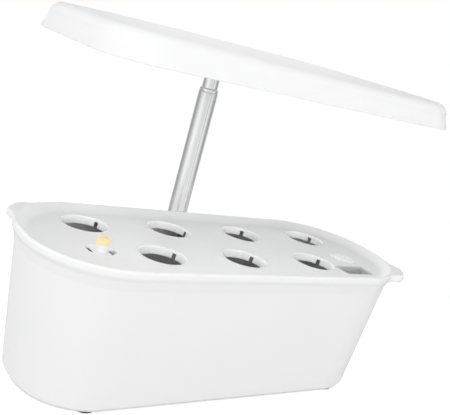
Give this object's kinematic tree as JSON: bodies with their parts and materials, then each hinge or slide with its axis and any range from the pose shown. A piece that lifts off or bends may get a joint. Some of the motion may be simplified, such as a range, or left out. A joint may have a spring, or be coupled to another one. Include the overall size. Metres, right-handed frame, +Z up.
{
  "type": "countertop hydroponic garden",
  "caption": "Tapered white water tub with a lift-off grow deck, round pod openings, a float level sign and a flat lamp on a telescopic mast behind it.",
  "frame": {"origin": "table level, under the middle of the whole object's length and depth", "axes": "+X along the tub to the right, +Y from the front to the mast, +Z up"},
  "size_m": [0.363, 0.167, 0.2845],
  "materials": {
    "tub_white": "satin white moulding",
    "deck_white": "satin white moulding",
    "ring_white": "glossy white ring",
    "lamp_white": "satin white moulding",
    "key_grey": "pale grey key",
    "polished_tube": "polished tube",
    "socket_metal": "turned metal",
    "plate_metal": "bare sheet",
    "screw_steel": "plated steel",
    "foot_rubber": "dull dark rubber",
    "cup_rubber": "soft grey rubber",
    "pipe_clear": "cloudy pipe",
    "pump_black": "fine matt black",
    "bush_plastic": "plain bearing plastic",
    "strainer_grey": "plain grey moulding",
    "box_grey": "plain grey moulding",
    "float_yellow": "warm pale yellow",
    "float_foam": "closed cell foam",
    "board_green": "lacquered circuit board",
    "board_white": "white lacquered circuit board",
    "led_white": "phosphor face",
    "led_red": "coloured lens face",
    "cover_milky": "milky light cover"
  },
  "bodies": {
    "tub": {"tub_shell": "tub_white", "rubber_feet": "foot_rubber", "pump_case": "pump_black", "pump_cover": "pump_black", "suction_cups": "cup_rubber", "riser_pipe": "pipe_clear", "spray_head": "pump_black", "power_inlet": "pump_black", "mast_bracket": "tub_white", "bracket_screws": "screw_steel", "outer_tube": "polished_tube", "guide_bush": "bush_plastic"},
    "deck": {"grow_deck": "deck_white", "refill_chute": "deck_white", "refill_strainer": "strainer_grey", "float_cage": "deck_white", "key_bezel": "ring_white", "control_box": "box_grey", "control_board": "board_green", "key_switch": "pump_black", "box_screws": "screw_steel"},
    "float": {"float_stem": "ring_white", "float_cap": "float_yellow", "float_bulb": "float_foam"},
    "key": {"touch_key": "key_grey"},
    "lamp": {"inner_tube": "polished_tube", "tube_glide": "bush_plastic", "lamp_shell": "lamp_white", "lamp_socket": "socket_metal", "socket_screws": "screw_steel", "heat_plate": "plate_metal", "led_board": "board_white", "white_leds": "led_white", "red_leds": "led_red", "lamp_driver": "board_green", "lamp_cover": "cover_milky", "cover_screws": "screw_steel"},
    "ring_b1": {"collar_b1": "ring_white"},
    "ring_b2": {"collar_b2": "ring_white"},
    "ring_b3": {"collar_b3": "ring_white"},
    "ring_b4": {"collar_b4": "ring_white"},
    "ring_f1": {"collar_f1": "ring_white"},
    "ring_f2": {"collar_f2": "ring_white"},
    "ring_f3": {"collar_f3": "ring_white"}
  },
  "joints": [
    {"name": "deck_lift", "type": "slide", "parent": "tub", "child": "deck", "axis": [0, 0, 1], "range_m": [0, 0.075]},
    {"name": "lamp_height", "type": "slide", "parent": "tub", "child": "lamp", "axis": [0, 0, 1], "range_m": [-0.015, 0.145]},
    {"name": "float_rise", "type": "slide", "parent": "deck", "child": "float", "axis": [0, 0, 1], "range_m": [-0.0064, 0.0155]},
    {"name": "key_press", "type": "slide", "parent": "deck", "child": "key", "axis": [0, 0, 1], "range_m": [-0.0008, 0], "stiffness_N_per_m": 600, "springref_m": 0.0004},
    {"name": "ring_turn_b1", "type": "hinge", "parent": "deck", "child": "ring_b1", "pos_m": [-0.1142, 0.026, 0.1165], "axis": [0, 0, 1], "range_deg": [0, 90]},
    {"name": "ring_turn_b2", "type": "hinge", "parent": "deck", "child": "ring_b2", "pos_m": [-0.0342, 0.026, 0.1165], "axis": [0, 0, 1], "range_deg": [-90, 0]},
    {"name": "ring_turn_b3", "type": "hinge", "parent": "deck", "child": "ring_b3", "pos_m": [0.0458, 0.026, 0.1165], "axis": [0, 0, 1], "range_deg": [0, 90]},
    {"name": "ring_turn_b4", "type": "hinge", "parent": "deck", "child": "ring_b4", "pos_m": [0.1258, 0.026, 0.1165], "axis": [0, 0, 1], "range_deg": [0, 90]},
    {"name": "ring_turn_f1", "type": "hinge", "parent": "deck", "child": "ring_f1", "pos_m": [-0.0742, -0.0353, 0.1165], "axis": [0, 0, 1], "range_deg": [0, 90]},
    {"name": "ring_turn_f2", "type": "hinge", "parent": "deck", "child": "ring_f2", "pos_m": [0.0058, -0.0353, 0.1165], "axis": [0, 0, 1], "range_deg": [0, 90]},
    {"name": "ring_turn_f3", "type": "hinge", "parent": "deck", "child": "ring_f3", "pos_m": [0.0858, -0.0353, 0.1165], "axis": [0, 0, 1], "range_deg": [0, 90]}
  ]
}
